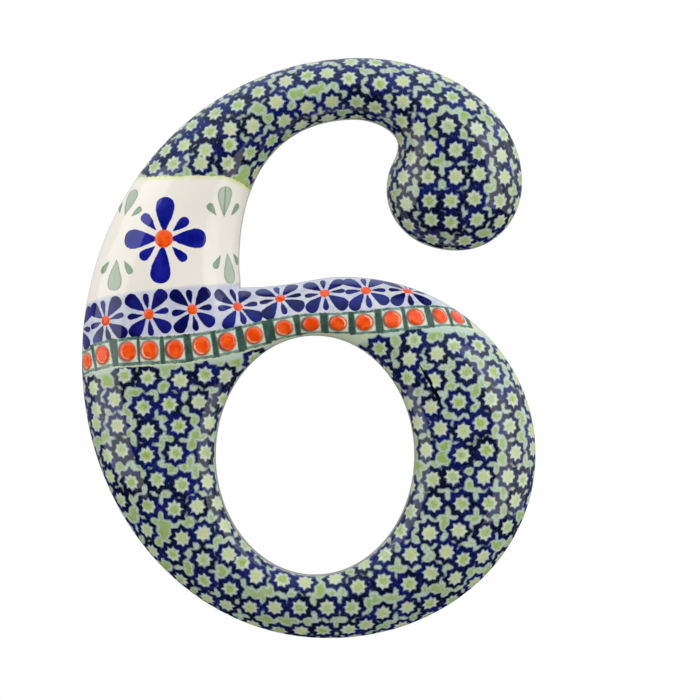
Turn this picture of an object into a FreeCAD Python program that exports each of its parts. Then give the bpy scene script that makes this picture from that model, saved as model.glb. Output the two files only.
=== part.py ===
"""House number 6: one piece of glazed stoneware, flat at the back and domed at the front.

The frame: +X to the right and +Z up as the number is read, and the front faces -Y. The flat back lies
at y = 0. The origin lies in that plane, midway between the two hanging sockets. They are one above the
other, and the number's centre of mass lies between them, so it hangs upright.
"""
import FreeCAD, Part
import math
import os
import Sketcher

Vector = FreeCAD.Vector

SIZES = {
    # the whole number
    "overall_height": 170.0,
    "overall_width": 133.0,
    "depth": 22.0,
    "left_reach": 65.25,      # from the line through the sockets to the left side
    "head_margin": 11.3,      # from the upper socket to the top
    "foot_margin": 10.7,      # from the lower socket to the foot
    # where the outline is level or upright at its outer extremes
    "top_x": 15.95,
    "left_z": -3.1,
    "foot_x": 6.95,
    "bowl_right_z": -30.8,
    # the arch over the counter, and the corner where it meets the stem; a drop is measured from the top
    "arch_x": 11.35,
    "arch_drop": 64.1,
    "crotch_x": -18.8,
    "crotch_drop": 67.2,
    # widths of the stroke
    "left_stroke": 39.2,
    "right_stroke": 35.6,
    "foot_stroke": 18.6,
    "arch_stroke": 17.3,
    "hook_stroke": 18.0,
    # the open space between the hook and the arch
    "aperture_x": 14.85,
    "stem_x": -19.15,
    "stem_drop": 60.1,
    "neck_x": 27.35,
    "neck_drop": 25.6,
    # the ball that ends the hook
    "ball_left_x": 24.05,
    "ball_left_drop": 39.0,
    "ball_width": 39.75,
    "ball_right_drop": 36.6,
    "ball_foot_x": 44.85,
    "ball_foot_drop": 56.4,
    # how full the curves are: the length of a handle as a share of its quarter's width or height
    "round_fullness": 0.559,
    "counter_fullness": 0.552,
    "corner_fullness": 0.54,
    "arch_fullness": 0.30,
    "ball_foot_fullness": 0.69,
    "ball_side_fullness": 0.44,
    "ball_neck_fullness": 0.62,
    "neck_ball_fullness": 0.35,
    "neck_fullness": 0.59,
    "aperture_fullness": 0.39,
    "hook_fullness": 0.60,
    "stem_fullness": 0.67,
    # the crown of the front: the wall that it rises from, how far in from there it levels out, and how far
    # inside the counter the lines that it rises from are
    "edge_wall": 9.5,
    "crown_reach": 24.0,
    "counter_lead": 5.2,
    # the two hanging sockets in the back
    "socket_diameter": 8.0,
    "socket_depth": 10.0,
}

# The net of points that carries the crown: its spacing and how far it runs past the outline.
NET_STEP = 3.0
NET_MARGIN = 9.0
# The length of the straight pieces that the outline is measured by.
PIECE_LENGTH = 2.0
# The power by which the crown levels out from its edge.
CROWN_POWER = 3
# The crown's solid is carried this many depths backwards, so that it takes in the whole back.
CROWN_DEPTHS = 4
# The square of a length too small to matter, for a point on the outline.
TINY = 1e-6
# The largest part of a socket's volume that may be missing from its cut.
CUT_TOLERANCE = 0.01

doc = FreeCAD.newDocument("HouseNumber")


def make_sheet():
    """Fill the spreadsheet with the driving dimensions, each under its own name."""
    sheet = doc.addObject("Spreadsheet::Sheet", "Sizes")
    for row, (name, value) in enumerate(SIZES.items(), start=1):
        sheet.set(f"A{row}", name)
        sheet.set(f"B{row}", str(value))
        sheet.setAlias(f"B{row}", name)
    doc.recompute()
    return sheet


sheet = make_sheet()


def expression(text):
    """Turn names of sizes in a formula into references to the sheet."""
    words = text.split(" ")
    return " ".join(f"Sizes.{word}" if word in SIZES else word for word in words)


def bind(owner, target, text):
    owner.setExpression(target, expression(text))


def new_sketch(body, name):
    """A sketch in the plane of the flat back. Its own axes are the number's X and Z."""
    plane = next(item for item in body.Origin.OriginFeatures if item.Role == "XZ_Plane")
    sketch = body.newObject("Sketcher::SketchObject", name)
    sketch.AttachmentSupport = (plane, [""])
    sketch.MapMode = "FlatFace"
    doc.recompute()
    return sketch


class Node:
    """A point of a curved outline, where the curve runs level ("H") or upright ("V").

    before and after are the fullness of the curves that arrive and leave.
    """

    def __init__(self, name, x, z, before, after, arrives, leaves=None):
        self.name = name
        self.x = x
        self.z = z
        self.before = before
        self.after = after
        self.arrives = arrives
        self.leaves = leaves or arrives


LEFT_X = "- left_reach"
RIGHT_X = "overall_width - left_reach"
HEAD_Z = "( overall_height + head_margin - foot_margin ) / 2"
FOOT_Z = "( head_margin - foot_margin - overall_height ) / 2"
BALL_RIGHT_X = "ball_left_x + ball_width"
SOCKET_SPACING = "overall_height - head_margin - foot_margin"


def below_head(drop):
    return f"{HEAD_Z} - {drop}"



# Clockwise from the corner under the stem, over the arch, round the bowl and up to the hook and its ball.
OUTLINE = [
    Node("crotch", "crotch_x", below_head("crotch_drop"), "stem_fullness", "corner_fullness", "V", "H"),
    Node("arch", "arch_x", below_head("arch_drop"), "arch_fullness", "round_fullness", "H"),
    Node("bowl", RIGHT_X, "bowl_right_z", "round_fullness", "round_fullness", "V"),
    Node("foot", "foot_x", FOOT_Z, "round_fullness", "round_fullness", "H"),
    Node("left", LEFT_X, "left_z", "round_fullness", "round_fullness", "V"),
    Node("head", "top_x", HEAD_Z, "round_fullness", "round_fullness", "H"),
    Node("ball_right", BALL_RIGHT_X, below_head("ball_right_drop"), "round_fullness", "round_fullness", "V"),
    Node("ball_foot", "ball_foot_x", below_head("ball_foot_drop"), "round_fullness", "ball_foot_fullness", "H"),
    Node("ball_left", "ball_left_x", below_head("ball_left_drop"), "ball_side_fullness", "ball_neck_fullness", "V"),
    Node("neck", "neck_x", below_head("neck_drop"), "neck_ball_fullness", "neck_fullness", "V"),
    Node("aperture", "aperture_x", below_head("hook_stroke"), "aperture_fullness", "hook_fullness", "H"),
    Node("stem", "stem_x", below_head("stem_drop"), "stem_fullness", "hook_fullness", "V"),
]

# The counter keeps the width of the stroke on each of its four sides.
COUNTER_LEFT = f"{LEFT_X} + left_stroke"
COUNTER_RIGHT = f"{RIGHT_X} - right_stroke"
COUNTER_TOP = below_head("arch_drop") + " - arch_stroke"
COUNTER_FOOT = f"{FOOT_Z} + foot_stroke"
COUNTER_X = f"( {COUNTER_LEFT} + {COUNTER_RIGHT} ) / 2"
COUNTER_Z = f"( {COUNTER_TOP} + {COUNTER_FOOT} ) / 2"

COUNTER = [
    Node("counter_top", COUNTER_X, COUNTER_TOP, "counter_fullness", "counter_fullness", "H"),
    Node("counter_right", COUNTER_RIGHT, COUNTER_Z, "counter_fullness", "counter_fullness", "V"),
    Node("counter_foot", COUNTER_X, COUNTER_FOOT, "counter_fullness", "counter_fullness", "H"),
    Node("counter_left", COUNTER_LEFT, COUNTER_Z, "counter_fullness", "counter_fullness", "V"),
]

# The points of a sketched curve or circle, and of the sketch's own origin.
START, END, CENTRE = range(1, 4)
ORIGIN_POINT = (-1, START)


def handle_formula(direction, fullness, start, end):
    """The signed length of a handle along its direction, for the curve from one node to another."""
    if direction == "H":
        return f"{fullness} * ( {end.x} - ( {start.x} ) )"
    return f"{fullness} * ( {end.z} - ( {start.z} ) )"


def draw_loops(sketch, loops):
    """Draw closed loops of cubic curves through their nodes and tie every pole to the sheet."""
    constraints = []
    formulas = {}

    def value(text):
        return float(sketch.evalExpression(expression(text)))

    def place(node):
        return Vector(value(node.x), value(node.z), 0)

    def reach(direction, formula):
        return Vector(value(formula), 0, 0) if direction == "H" else Vector(0, value(formula), 0)

    def tie(kind, name, first, second, formula):
        formulas[sketch.ConstraintCount + len(constraints)] = (name, formula)
        constraints.append(Sketcher.Constraint(kind, *first, *second, value(formula)))

    def tie_handle(direction, name, first, second, formula):
        upright = direction == "V"
        constraints.append(Sketcher.Constraint("Vertical" if upright else "Horizontal", *first, *second))
        tie("DistanceY" if upright else "DistanceX", name, first, second, formula)

    spans = [pair for nodes in loops for pair in zip(nodes, nodes[1:] + nodes[:1])]
    leaving = [handle_formula(start.leaves, start.after, start, end) for start, end in spans]
    arriving = [handle_formula(end.arrives, end.before, start, end) for start, end in spans]
    curves = []
    for (start, end), leave, arrive in zip(spans, leaving, arriving):
        curve = Part.BezierCurve()
        curve.setPoles([
            place(start),
            place(start) + reach(start.leaves, leave),
            place(end) - reach(end.arrives, arrive),
            place(end),
        ])
        curves.append(curve.toBSpline())
    curves = list(sketch.addGeometry(curves, False))

    poles = []
    for curve in curves:
        poles.append(sketch.GeometryCount)
        sketch.exposeInternalGeometry(curve)

    curve_from = {start.name: curve for (start, end), curve in zip(spans, curves)}
    for (start, end), curve, pole, leave, arrive in zip(spans, curves, poles, leaving, arriving):
        tie("DistanceX", f"{start.name}_x", ORIGIN_POINT, (curve, START), start.x)
        tie("DistanceY", f"{start.name}_z", ORIGIN_POINT, (curve, START), start.z)
        constraints.append(Sketcher.Constraint("Coincident", curve, END, curve_from[end.name], START))
        tie_handle(start.leaves, f"{start.name}_leaving", (curve, START), (pole + 1, CENTRE), leave)
        tie_handle(end.arrives, f"{end.name}_arriving", (pole + 2, CENTRE), (curve, END), arrive)
    sketch.addConstraint(constraints)
    for index, (name, formula) in formulas.items():
        sketch.renameConstraint(index, name)
        bind(sketch, f"Constraints[{index}]", formula)
    doc.recompute()


def make_plan():
    """The outline and its counter, padded to the full depth."""
    body = doc.addObject("PartDesign::Body", "Plan")
    outline = new_sketch(body, "Outline")
    draw_loops(outline, [OUTLINE, COUNTER])
    pad = body.newObject("PartDesign::Pad", "Thickness")
    pad.Profile = outline
    bind(pad, "Length", "depth")
    doc.recompute()
    return body, outline


def outline_pieces(outline):
    """The lines that the crown rises from, in short straight pieces: start, direction and length.

    They are the outer edge of the number and a smaller loop inside the counter, so that the crown
    is already near its top where the counter cuts through it.
    """
    outer, counter = sorted(outline.Shape.Wires, key=lambda wire: -wire.BoundBox.ZLength)
    box = counter.BoundBox
    keep_x = 1 - 2 * sheet.counter_lead / box.XLength
    keep_z = 1 - 2 * sheet.counter_lead / box.ZLength

    def same(point):
        return point

    def drawn_in(point):
        away = point - box.Center
        return box.Center + Vector(away.x * keep_x, 0, away.z * keep_z)

    pieces = []
    for wire, moved in ((outer, same), (counter, drawn_in)):
        for edge in wire.Edges:
            points = [moved(point) for point in edge.discretize(Distance=PIECE_LENGTH)]
            for start, end in zip(points, points[1:]):
                along = end - start
                length = along.Length
                pieces.append((start.x, start.z, along.x / length, along.z / length, length))
    return pieces


def distance_inside(pieces, x, z):
    """How far a point lies inside the lines, smoothed over the middle of the stroke.

    Each piece counts by the inverse cube of its distance, so close to one line this is the true distance,
    and halfway between two lines it is a rounded ridge. It is negative outside.
    """
    pull = 0
    inside = False
    for start_x, start_z, along_x, along_z, length in pieces:
        to_x = x - start_x
        to_z = z - start_z
        along = to_x * along_x + to_z * along_z
        across_squared = max(to_x * to_x + to_z * to_z - along * along, TINY)
        rest = length - along
        pull += along / math.sqrt(across_squared + along * along) / across_squared
        pull += rest / math.sqrt(across_squared + rest * rest) / across_squared
        end_z = start_z + along_z * length
        if (start_z > z) != (end_z > z) and x < start_x + (z - start_z) * along_x / along_z:
            inside = not inside
    distance = math.sqrt(2 / pull)
    return distance if inside else -distance


def crown_height(distance):
    """The front's height over the back: steep at the edge wall and level at the full depth.

    Past the outline the surface falls on at the same slope and levels out behind the back.
    """
    rise = sheet.depth - sheet.edge_wall
    share = distance / sheet.crown_reach
    if share < 0:
        return sheet.edge_wall - sheet.depth * (1 - math.exp(rise * CROWN_POWER * share / sheet.depth))
    return sheet.edge_wall + rise * (1 - (1 - min(share, 1)) ** CROWN_POWER)


def make_crown(outline):
    """The solid behind the domed front: one smooth surface through a net of heights, carried backwards."""
    pieces = outline_pieces(outline)
    box = outline.Shape.BoundBox
    low_x = box.XMin - NET_MARGIN
    low_z = box.ZMin - NET_MARGIN
    columns = math.ceil((box.XLength + 2 * NET_MARGIN) / NET_STEP) + 1
    rows = math.ceil((box.ZLength + 2 * NET_MARGIN) / NET_STEP) + 1
    heights = [
        [
            crown_height(distance_inside(pieces, low_x + column * NET_STEP, low_z + row * NET_STEP))
            for row in range(rows)
        ]
        for column in range(columns)
    ]
    surface = Part.BSplineSurface()
    surface.interpolate(heights, low_x, NET_STEP, low_z, NET_STEP)
    crown = doc.addObject("Part::Feature", "Crown")
    crown.Shape = surface.toShape().extrude(Vector(0, 0, -CROWN_DEPTHS * sheet.depth))
    crown.Placement = FreeCAD.Placement(Vector(), FreeCAD.Rotation(Vector(1, 0, 0), 90))
    return crown


def make_number(plan, crown):
    """The plan cut to the crown, with its two hanging sockets in the back."""
    domed = doc.addObject("Part::MultiCommon", "Domed")
    domed.Shapes = [plan, crown]
    doc.recompute()
    number = doc.addObject("PartDesign::Body", "HouseNumber")
    number.Label = "house_number"
    number.BaseFeature = domed
    sockets = new_sketch(number, "SocketCircles")
    radius = sheet.socket_diameter / 2
    spacing = sheet.overall_height - sheet.head_margin - sheet.foot_margin
    for height in (spacing / 2, -spacing / 2):
        sockets.addGeometry(Part.Circle(Vector(0, height, 0), Vector(0, 0, 1), radius), False)
    sockets.addConstraint([
        Sketcher.Constraint("DistanceY", 1, CENTRE, 0, CENTRE, spacing),
        Sketcher.Constraint("Diameter", 0, sheet.socket_diameter),
        Sketcher.Constraint("Symmetric", 0, CENTRE, 1, CENTRE, *ORIGIN_POINT),
        Sketcher.Constraint("Vertical", 0, CENTRE, 1, CENTRE),
        Sketcher.Constraint("Equal", 0, 1),
    ])
    bind(sockets, "Constraints[0]", SOCKET_SPACING)
    bind(sockets, "Constraints[1]", "socket_diameter")
    doc.recompute()
    pocket = number.newObject("PartDesign::Pocket", "Sockets")
    pocket.Profile = sockets
    bind(pocket, "Length", "socket_depth")
    pocket.Reversed = True
    doc.recompute()
    return number, domed


def check(number, domed):
    """Stop unless every object was made, the number is one sound solid and its sockets were cut."""
    for item in doc.Objects:
        if "Invalid" in item.State or "Error" in item.State:
            raise RuntimeError(f"{item.Label} failed: {item.State}")
    shape = number.Shape
    if shape.isNull() or not shape.isValid() or len(shape.Solids) != 1:
        raise RuntimeError("house_number isn't one valid solid")
    socket_volume = math.pi * (sheet.socket_diameter / 2) ** 2 * sheet.socket_depth
    removed = domed.Shape.Volume - shape.Volume
    if abs(removed - 2 * socket_volume) > CUT_TOLERANCE * socket_volume:
        raise RuntimeError(f"the sockets removed {removed:.1f} cubic mm")


plan, outline = make_plan()
crown = make_crown(outline)
number, domed = make_number(plan, crown)
check(number, domed)
print("volume", round(number.Shape.Volume), "centre of mass", number.Shape.Solids[0].CenterOfMass)

os.makedirs("parts", exist_ok=True)
number.Shape.exportStep(f"parts/{number.Label}.step")
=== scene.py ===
import math

import bpy
import numpy as np
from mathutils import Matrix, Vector
from mathutils.geometry import delaunay_2d_cdt


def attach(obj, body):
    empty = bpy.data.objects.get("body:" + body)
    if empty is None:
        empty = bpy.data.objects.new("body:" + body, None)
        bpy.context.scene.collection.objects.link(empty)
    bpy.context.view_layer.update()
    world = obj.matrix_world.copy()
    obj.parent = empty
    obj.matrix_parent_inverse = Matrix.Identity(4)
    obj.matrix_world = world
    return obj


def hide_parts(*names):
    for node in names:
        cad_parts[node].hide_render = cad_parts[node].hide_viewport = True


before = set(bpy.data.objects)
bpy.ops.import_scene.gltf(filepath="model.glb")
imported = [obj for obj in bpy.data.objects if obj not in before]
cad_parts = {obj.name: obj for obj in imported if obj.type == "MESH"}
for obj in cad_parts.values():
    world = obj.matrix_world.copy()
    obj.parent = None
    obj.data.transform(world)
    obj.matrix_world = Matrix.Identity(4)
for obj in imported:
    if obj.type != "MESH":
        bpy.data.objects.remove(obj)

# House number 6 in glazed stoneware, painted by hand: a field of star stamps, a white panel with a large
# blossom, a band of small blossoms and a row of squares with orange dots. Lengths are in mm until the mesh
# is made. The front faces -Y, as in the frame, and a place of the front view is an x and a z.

MM = 0.001
NUMBER = "house_number"
RIGHT = np.array([1.0, 0, 0])
AT_ONCE = 4000            # places that are compared with all others in one step, to spare memory

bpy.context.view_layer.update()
random = np.random.default_rng(6)

# The crown of the front, as in the solid.
EDGE_WALL = 9.5
CROWN_REACH = 24.0
COUNTER_LEAD = 5.2
CROWN_POWER = 3

# How the glaze softens the solid's edges.
WALL_LEAN = 0.15          # the wall leans in by this much from the back to the front
FRONT_ROUND = 2.4         # width of the rounding between front and wall
FRONT_DROP = 1.5          # how much lower the rounding brings the edge
BACK_ROUND = 1.5

# Mesh steps.
SHARP_TURN = math.radians(40)
CURVE_PIECES = 12         # pieces of smooth curve between two corners of the solid
OUTLINE_STEP = 0.6
GRID_STEP = 0.9
BACK_STEP = 4.0
BACK_GAP = 1.0            # free ground between the back's net and its edges
FRONT_RINGS = (0.0, 0.12, 0.35, 0.7, 1.15, 1.7, 2.4, 3.2)
WALL_ROWS = 11
BACK_TURNS = 4
SOCKET_SIDES = 48
SOCKET_DEPTH = 10.0
MOUTH_FLARE = 0.4
# How far beyond its radius, and how deep, each ring of a socket lies, from its mouth in.
SOCKET_RINGS = ((0.12, 0.12), (0.0, 0.4), (0.0, SOCKET_DEPTH - 0.6), (-0.6, SOCKET_DEPTH))


def in_steps(count):
    return [slice(low, low + AT_ONCE) for low in range(0, count, AT_ONCE)]


# The outline

def node_triangles(name):
    """The solid's corners in mm, with doubles merged, and its triangles."""
    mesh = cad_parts[name].data
    points = np.empty(len(mesh.vertices) * 3, np.float32)
    mesh.vertices.foreach_get("co", points)
    mesh.calc_loop_triangles()
    triangles = np.empty(len(mesh.loop_triangles) * 3, np.int32)
    mesh.loop_triangles.foreach_get("vertices", triangles)
    points = np.round(points.reshape(-1, 3).astype(float) / MM, 4)
    points, place = np.unique(points, axis=0, return_inverse=True)
    return points, place.reshape(-1)[triangles].reshape(-1, 3)


def back_loops(points, triangles):
    """The closed lines around the flat back, in the front view, longest first. That is the outer edge."""
    flat = triangles[(points[triangles][:, :, 1] > -1e-3).all(axis=1)]
    sides = np.concatenate([flat[:, [0, 1]], flat[:, [1, 2]], flat[:, [2, 0]]])
    known = {tuple(side) for side in sides.tolist()}
    following = {a: b for a, b in known if (b, a) not in known}
    loops = []
    while following:
        start, here = following.popitem()
        loop = [start]
        while here != start:
            loop.append(here)
            here = following.pop(here)
        loops.append(points[loop][:, [0, 2]])
    return sorted(loops, key=loop_length, reverse=True)


def loop_length(loop):
    return np.linalg.norm(np.roll(loop, -1, axis=0) - loop, axis=1).sum()


def walked_length(line):
    """The length of an open line from its start to each of its points."""
    return np.concatenate([[0], np.linalg.norm(np.diff(line, axis=0), axis=1).cumsum()])


def turned(loop, way):
    """The loop walked counterclockwise for way 1 and clockwise for -1, from the same first point."""
    x, z = loop.T
    area = (x * np.roll(z, -1) - z * np.roll(x, -1)).sum() / 2
    return loop if area * way > 0 else np.roll(loop[::-1], 1, axis=0)


def smooth_loop(loop):
    """Even points on a smooth curve through a loop's points. A sharp corner stays, as the first point."""
    ahead = np.roll(loop, -1, axis=0) - loop
    behind = np.roll(ahead, 1, axis=0)
    turn = np.abs(np.angle((ahead[:, 0] + 1j * ahead[:, 1]) / (behind[:, 0] + 1j * behind[:, 1])))
    first = int(turn.argmax())
    loop, ahead, behind = (np.roll(values, -first, axis=0) for values in (loop, ahead, behind))
    far = np.linalg.norm(ahead, axis=1)[:, None]
    near = np.roll(far, 1, axis=0)
    slope = (ahead / far * near + behind / near * far) / (far + near)
    leave, arrive = slope.copy(), slope.copy()
    if turn[first] > SHARP_TURN:
        leave[0] = 2 * ahead[0] / far[0] - slope[1]
        arrive[0] = 2 * behind[0] / near[0] - slope[-1]
    share = np.linspace(0, 1, CURVE_PIECES, endpoint=False)[None, :, None]
    start, end = loop[:, None], np.roll(loop, -1, axis=0)[:, None]
    curve = (
        start * (2 * share ** 3 - 3 * share ** 2 + 1)
        + end * (3 * share ** 2 - 2 * share ** 3)
        + (leave * far)[:, None] * (share ** 3 - 2 * share ** 2 + share)
        + (np.roll(arrive, -1, axis=0) * far)[:, None] * (share ** 3 - share ** 2)
    ).reshape(-1, 2)
    closed = np.vstack([curve, curve[:1]])
    walked = walked_length(closed)
    places = np.linspace(0, walked[-1], round(walked[-1] / OUTLINE_STEP), endpoint=False)
    return np.column_stack([np.interp(places, walked, closed[:, i]) for i in (0, 1)])


def inward_normals(loop):
    """The unit normals that point into the clay. At a corner it is the mean of its two sides."""
    ahead = np.roll(loop, -1, axis=0) - loop
    ahead /= np.linalg.norm(ahead, axis=1)[:, None]
    behind = np.roll(ahead, 1, axis=0)
    along = ahead + behind
    along /= np.linalg.norm(along, axis=1)[:, None]
    return np.column_stack([-along[:, 1], along[:, 0]])


solid_points, solid_triangles = node_triangles(NUMBER)
depth = -solid_points[:, 1].min()
found_loops = back_loops(solid_points, solid_triangles)
# The clay lies on the left of both loops as they are walked.
outer = turned(smooth_loop(found_loops[0]), 1)
counter = turned(smooth_loop(found_loops[1]), -1)
sockets = [(loop.mean(axis=0), np.ptp(loop[:, 0]) / 2) for loop in found_loops[2:]]
LOOPS = [(outer, inward_normals(outer)), (counter, inward_normals(counter))]


# The crown

def crown_lines():
    """The outer edge and a smaller loop inside the counter, as short pieces: start and end."""
    middle = (counter.max(axis=0) + counter.min(axis=0)) / 2
    keep = 1 - 2 * COUNTER_LEAD / np.ptp(counter, axis=0)
    lines = [outer[::2], (middle + (counter - middle) * keep)[::2]]
    return np.vstack(lines), np.vstack([np.roll(line, -1, axis=0) for line in lines])


LINE_STARTS, LINE_ENDS = crown_lines()


def distance_inside(places):
    """How far places lie inside the crown's lines, smoothed over the middle of the stroke."""
    along = LINE_ENDS - LINE_STARTS
    length = np.linalg.norm(along, axis=1)
    along = along / length[:, None]
    result = np.empty(len(places))
    for rows in in_steps(len(places)):
        to = places[rows, None] - LINE_STARTS[None]
        before = (to * along).sum(axis=2)
        across = np.maximum((to ** 2).sum(axis=2) - before ** 2, 1e-6)
        after = length - before
        pull = (before / np.sqrt(across + before ** 2) + after / np.sqrt(across + after ** 2)) / across
        result[rows] = np.sqrt(2 / pull.sum(axis=1))
    return result


def crown_height(places):
    share = np.minimum(distance_inside(places) / CROWN_REACH, 1)
    return EDGE_WALL + (depth - EDGE_WALL) * (1 - (1 - share) ** CROWN_POWER)


def is_inside(places, inset=0.0):
    """Whether places lie in the clay's outline, drawn in by the inset."""
    inside = np.zeros(len(places), bool)
    for loop, normals in LOOPS:
        start = loop + normals * inset
        end = np.roll(start, -1, axis=0)
        rise = np.where(end[:, 1] == start[:, 1], 1, end[:, 1] - start[:, 1])
        for rows in in_steps(len(places)):
            x, z = places[rows, :1], places[rows, 1:]
            spans = (start[:, 1] > z) != (end[:, 1] > z)
            crossing = start[:, 0] + (z - start[:, 1]) * (end[:, 0] - start[:, 0]) / rise
            inside[rows] ^= ((spans & (x < crossing)).sum(axis=1) % 2).astype(bool)
    return inside


def edge_distance(places):
    """How far places are from the nearest point of either loop."""
    borders = np.vstack([loop for loop, _ in LOOPS])
    result = np.empty(len(places))
    for rows in in_steps(len(places)):
        away = places[rows, None] - borders[None]
        result[rows] = np.sqrt((away ** 2).sum(axis=2).min(axis=1))
    return result


def triangulate(places, rings):
    """Triangles between places, with the closed rings of the given numbers kept as sides."""
    sides = [side for ring in rings for side in zip(ring.tolist(), np.roll(ring, -1).tolist())]
    made = delaunay_2d_cdt([Vector(place) for place in places], sides, [], 0, 1e-7)
    source = [list(ids)[0] for ids in made[3]]
    return np.array([[source[i] for i in face] for face in made[2]])


def facing(places, triangles, way):
    """The triangles turned counterclockwise in the front view for way 1, and clockwise for -1."""
    a, b, c = (places[triangles[:, i]] for i in range(3))
    turn = (b[:, 0] - a[:, 0]) * (c[:, 1] - a[:, 1]) - (b[:, 1] - a[:, 1]) * (c[:, 0] - a[:, 0])
    return np.where((turn * way < 0)[:, None], triangles[:, ::-1], triangles)


# The skin

class Skin:
    """The points and triangles of the skin, gathered part by part. 'part' tells the parts apart."""

    def __init__(self):
        self.points = []
        self.count = 0
        self.triangles = []
        self.parts = []

    def add(self, points):
        first = self.count
        self.points.append(points)
        self.count += len(points)
        return first + np.arange(len(points))

    def join(self, triangles, part):
        self.triangles.append(np.asarray(triangles))
        self.parts.append(np.full(len(triangles), part))

    def ring(self, above, points, part):
        """A new closed ring of points, joined by triangles to the one above it. Returns its numbers."""
        here = self.add(points)
        a, b = here, np.roll(here, -1)
        c, d = above, np.roll(above, -1)
        self.join(np.vstack([np.column_stack([a, b, d]), np.column_stack([a, d, c])]), part)
        return here


FRONT, WALL, BACK, SOCKET = range(4)
skin = Skin()


def lifted(places, heights):
    """Points at places of the front view. The heights are one number or one for each place."""
    return np.column_stack([places[:, 0], -np.broadcast_to(heights, len(places)), places[:, 1]])


def make_front():
    """The crowned front: rings along its edges and an even net between. Returns each edge and its height."""
    places, drops, edges = [], [], []
    for loop, normals in LOOPS:
        edges.append(sum(map(len, places)) + np.arange(len(loop)))
        for inset in FRONT_RINGS:
            share = min(inset / FRONT_ROUND, 1)
            places.append(loop + normals * (WALL_LEAN + inset))
            drops.append(np.full(len(loop), FRONT_DROP * (1 - math.sqrt(1 - (1 - share) ** 2))))
    low, high = outer.min(axis=0), outer.max(axis=0)
    net = []
    for row, z in enumerate(np.arange(low[1], high[1], GRID_STEP * math.sqrt(3) / 2)):
        x = np.arange(low[0] + (row % 2) * GRID_STEP / 2, high[0], GRID_STEP)
        net.append(np.column_stack([x, np.full(len(x), z)]))
    net = np.vstack(net)
    net = net[is_inside(net)]
    net = net[edge_distance(net) > WALL_LEAN + FRONT_RINGS[-1] + 0.6 * GRID_STEP]
    places = np.vstack(places + [net])
    heights = crown_height(places) - np.concatenate(drops + [np.zeros(len(net))])
    triangles = triangulate(places, edges)
    triangles = triangles[is_inside(places[triangles].mean(axis=1), WALL_LEAN)]
    ids = skin.add(lifted(places, heights))
    skin.join(ids[facing(places, triangles, 1)], FRONT)
    return [(ids[edge], heights[edge]) for edge in edges]


def make_walls(edges):
    """The walls from the front's edges down to the back, with a rounded back edge. Returns the last rings."""
    ends = []
    for (loop, normals), (above, top) in zip(LOOPS, edges):
        for row in range(1, WALL_ROWS + 1):
            share = row / WALL_ROWS
            places = loop + normals * WALL_LEAN * (1 - share)
            above = skin.ring(above, lifted(places, top + (BACK_ROUND - top) * share), WALL)
        for turn in range(1, BACK_TURNS + 1):
            angle = math.pi / 2 * turn / BACK_TURNS
            inset = BACK_ROUND * (1 - math.cos(angle))
            height = BACK_ROUND * (1 - math.sin(angle))
            above = skin.ring(above, lifted(loop + normals * inset, height), WALL)
        ends.append(above)
    return ends


def make_back(rings):
    """The flat back with its two hanging sockets."""
    edge_points = np.vstack(skin.points)
    places = [edge_points[ring][:, [0, 2]] for ring in rings]
    ids = list(rings)
    angles = np.linspace(0, 2 * math.pi, SOCKET_SIDES, endpoint=False)
    circle = np.column_stack([np.cos(angles), np.sin(angles)])
    for centre, radius in sockets:
        places.append(centre + circle * (radius + MOUTH_FLARE))
        above = skin.add(lifted(places[-1], 0.0))
        ids.append(above)
        for reach, height in SOCKET_RINGS:
            above = skin.ring(above, lifted(centre + circle * (radius + reach), height), SOCKET)
        floor = skin.add(lifted(centre[None], SOCKET_DEPTH))
        skin.join(np.column_stack([np.roll(above, -1), above, np.repeat(floor, SOCKET_SIDES)]), SOCKET)
    low, high = outer.min(axis=0), outer.max(axis=0)
    x, z = np.meshgrid(np.arange(low[0], high[0], BACK_STEP), np.arange(low[1], high[1], BACK_STEP))
    net = np.column_stack([x.ravel(), z.ravel()])
    net = net[is_inside(net)]
    net = net[edge_distance(net) > BACK_ROUND + BACK_GAP]
    for centre, radius in sockets:
        net = net[np.linalg.norm(net - centre, axis=1) > radius + MOUTH_FLARE + BACK_GAP]
    firsts = np.cumsum([0] + [len(ring) for ring in ids])
    places = np.vstack(places + [net])
    ids = np.concatenate(ids + [skin.add(lifted(net, 0.0))])
    triangles = triangulate(places, [np.arange(*ends) for ends in zip(firsts, firsts[1:])])
    centres = places[triangles].mean(axis=1)
    keep = is_inside(centres, BACK_ROUND)
    for centre, radius in sockets:
        keep &= np.linalg.norm(centres - centre, axis=1) > radius + MOUTH_FLARE
    skin.join(ids[facing(places, triangles[keep], -1)], BACK)


make_back(make_walls(make_front()))
points = np.vstack(skin.points)
triangles = np.vstack(skin.triangles)
parts = np.concatenate(skin.parts)


# Where the paint goes

corners = points[triangles]
middles = corners.mean(axis=1)
painted = triangles[parts <= WALL]
crosses = np.cross(corners[:, 1] - corners[:, 0], corners[:, 2] - corners[:, 0])[parts <= WALL]
normals = np.zeros_like(points)
areas = np.zeros(len(points))
for ids in painted.T:
    np.add.at(normals, ids, crosses)
    np.add.at(areas, ids, np.linalg.norm(crosses, axis=1) / 6)
normals /= np.maximum(np.linalg.norm(normals, axis=1), 1e-9)[:, None]
painted_ids = np.unique(painted)

GUIDE_STEP = 0.5
GUIDE_SPREAD = 11         # steps to each side over which a guide's bends are smoothed


def guide(places):
    """A smooth line through a few places of the front view: its height z at any x."""
    x = np.arange(-80.0, 80.0, GUIDE_STEP)
    z = np.interp(x, *np.array(places).T)
    weights = np.hanning(2 * GUIDE_SPREAD + 1)
    z = np.convolve(np.pad(z, GUIDE_SPREAD, mode="edge"), weights / weights.sum(), mode="valid")
    return lambda at: np.interp(at, x, z)


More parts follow.
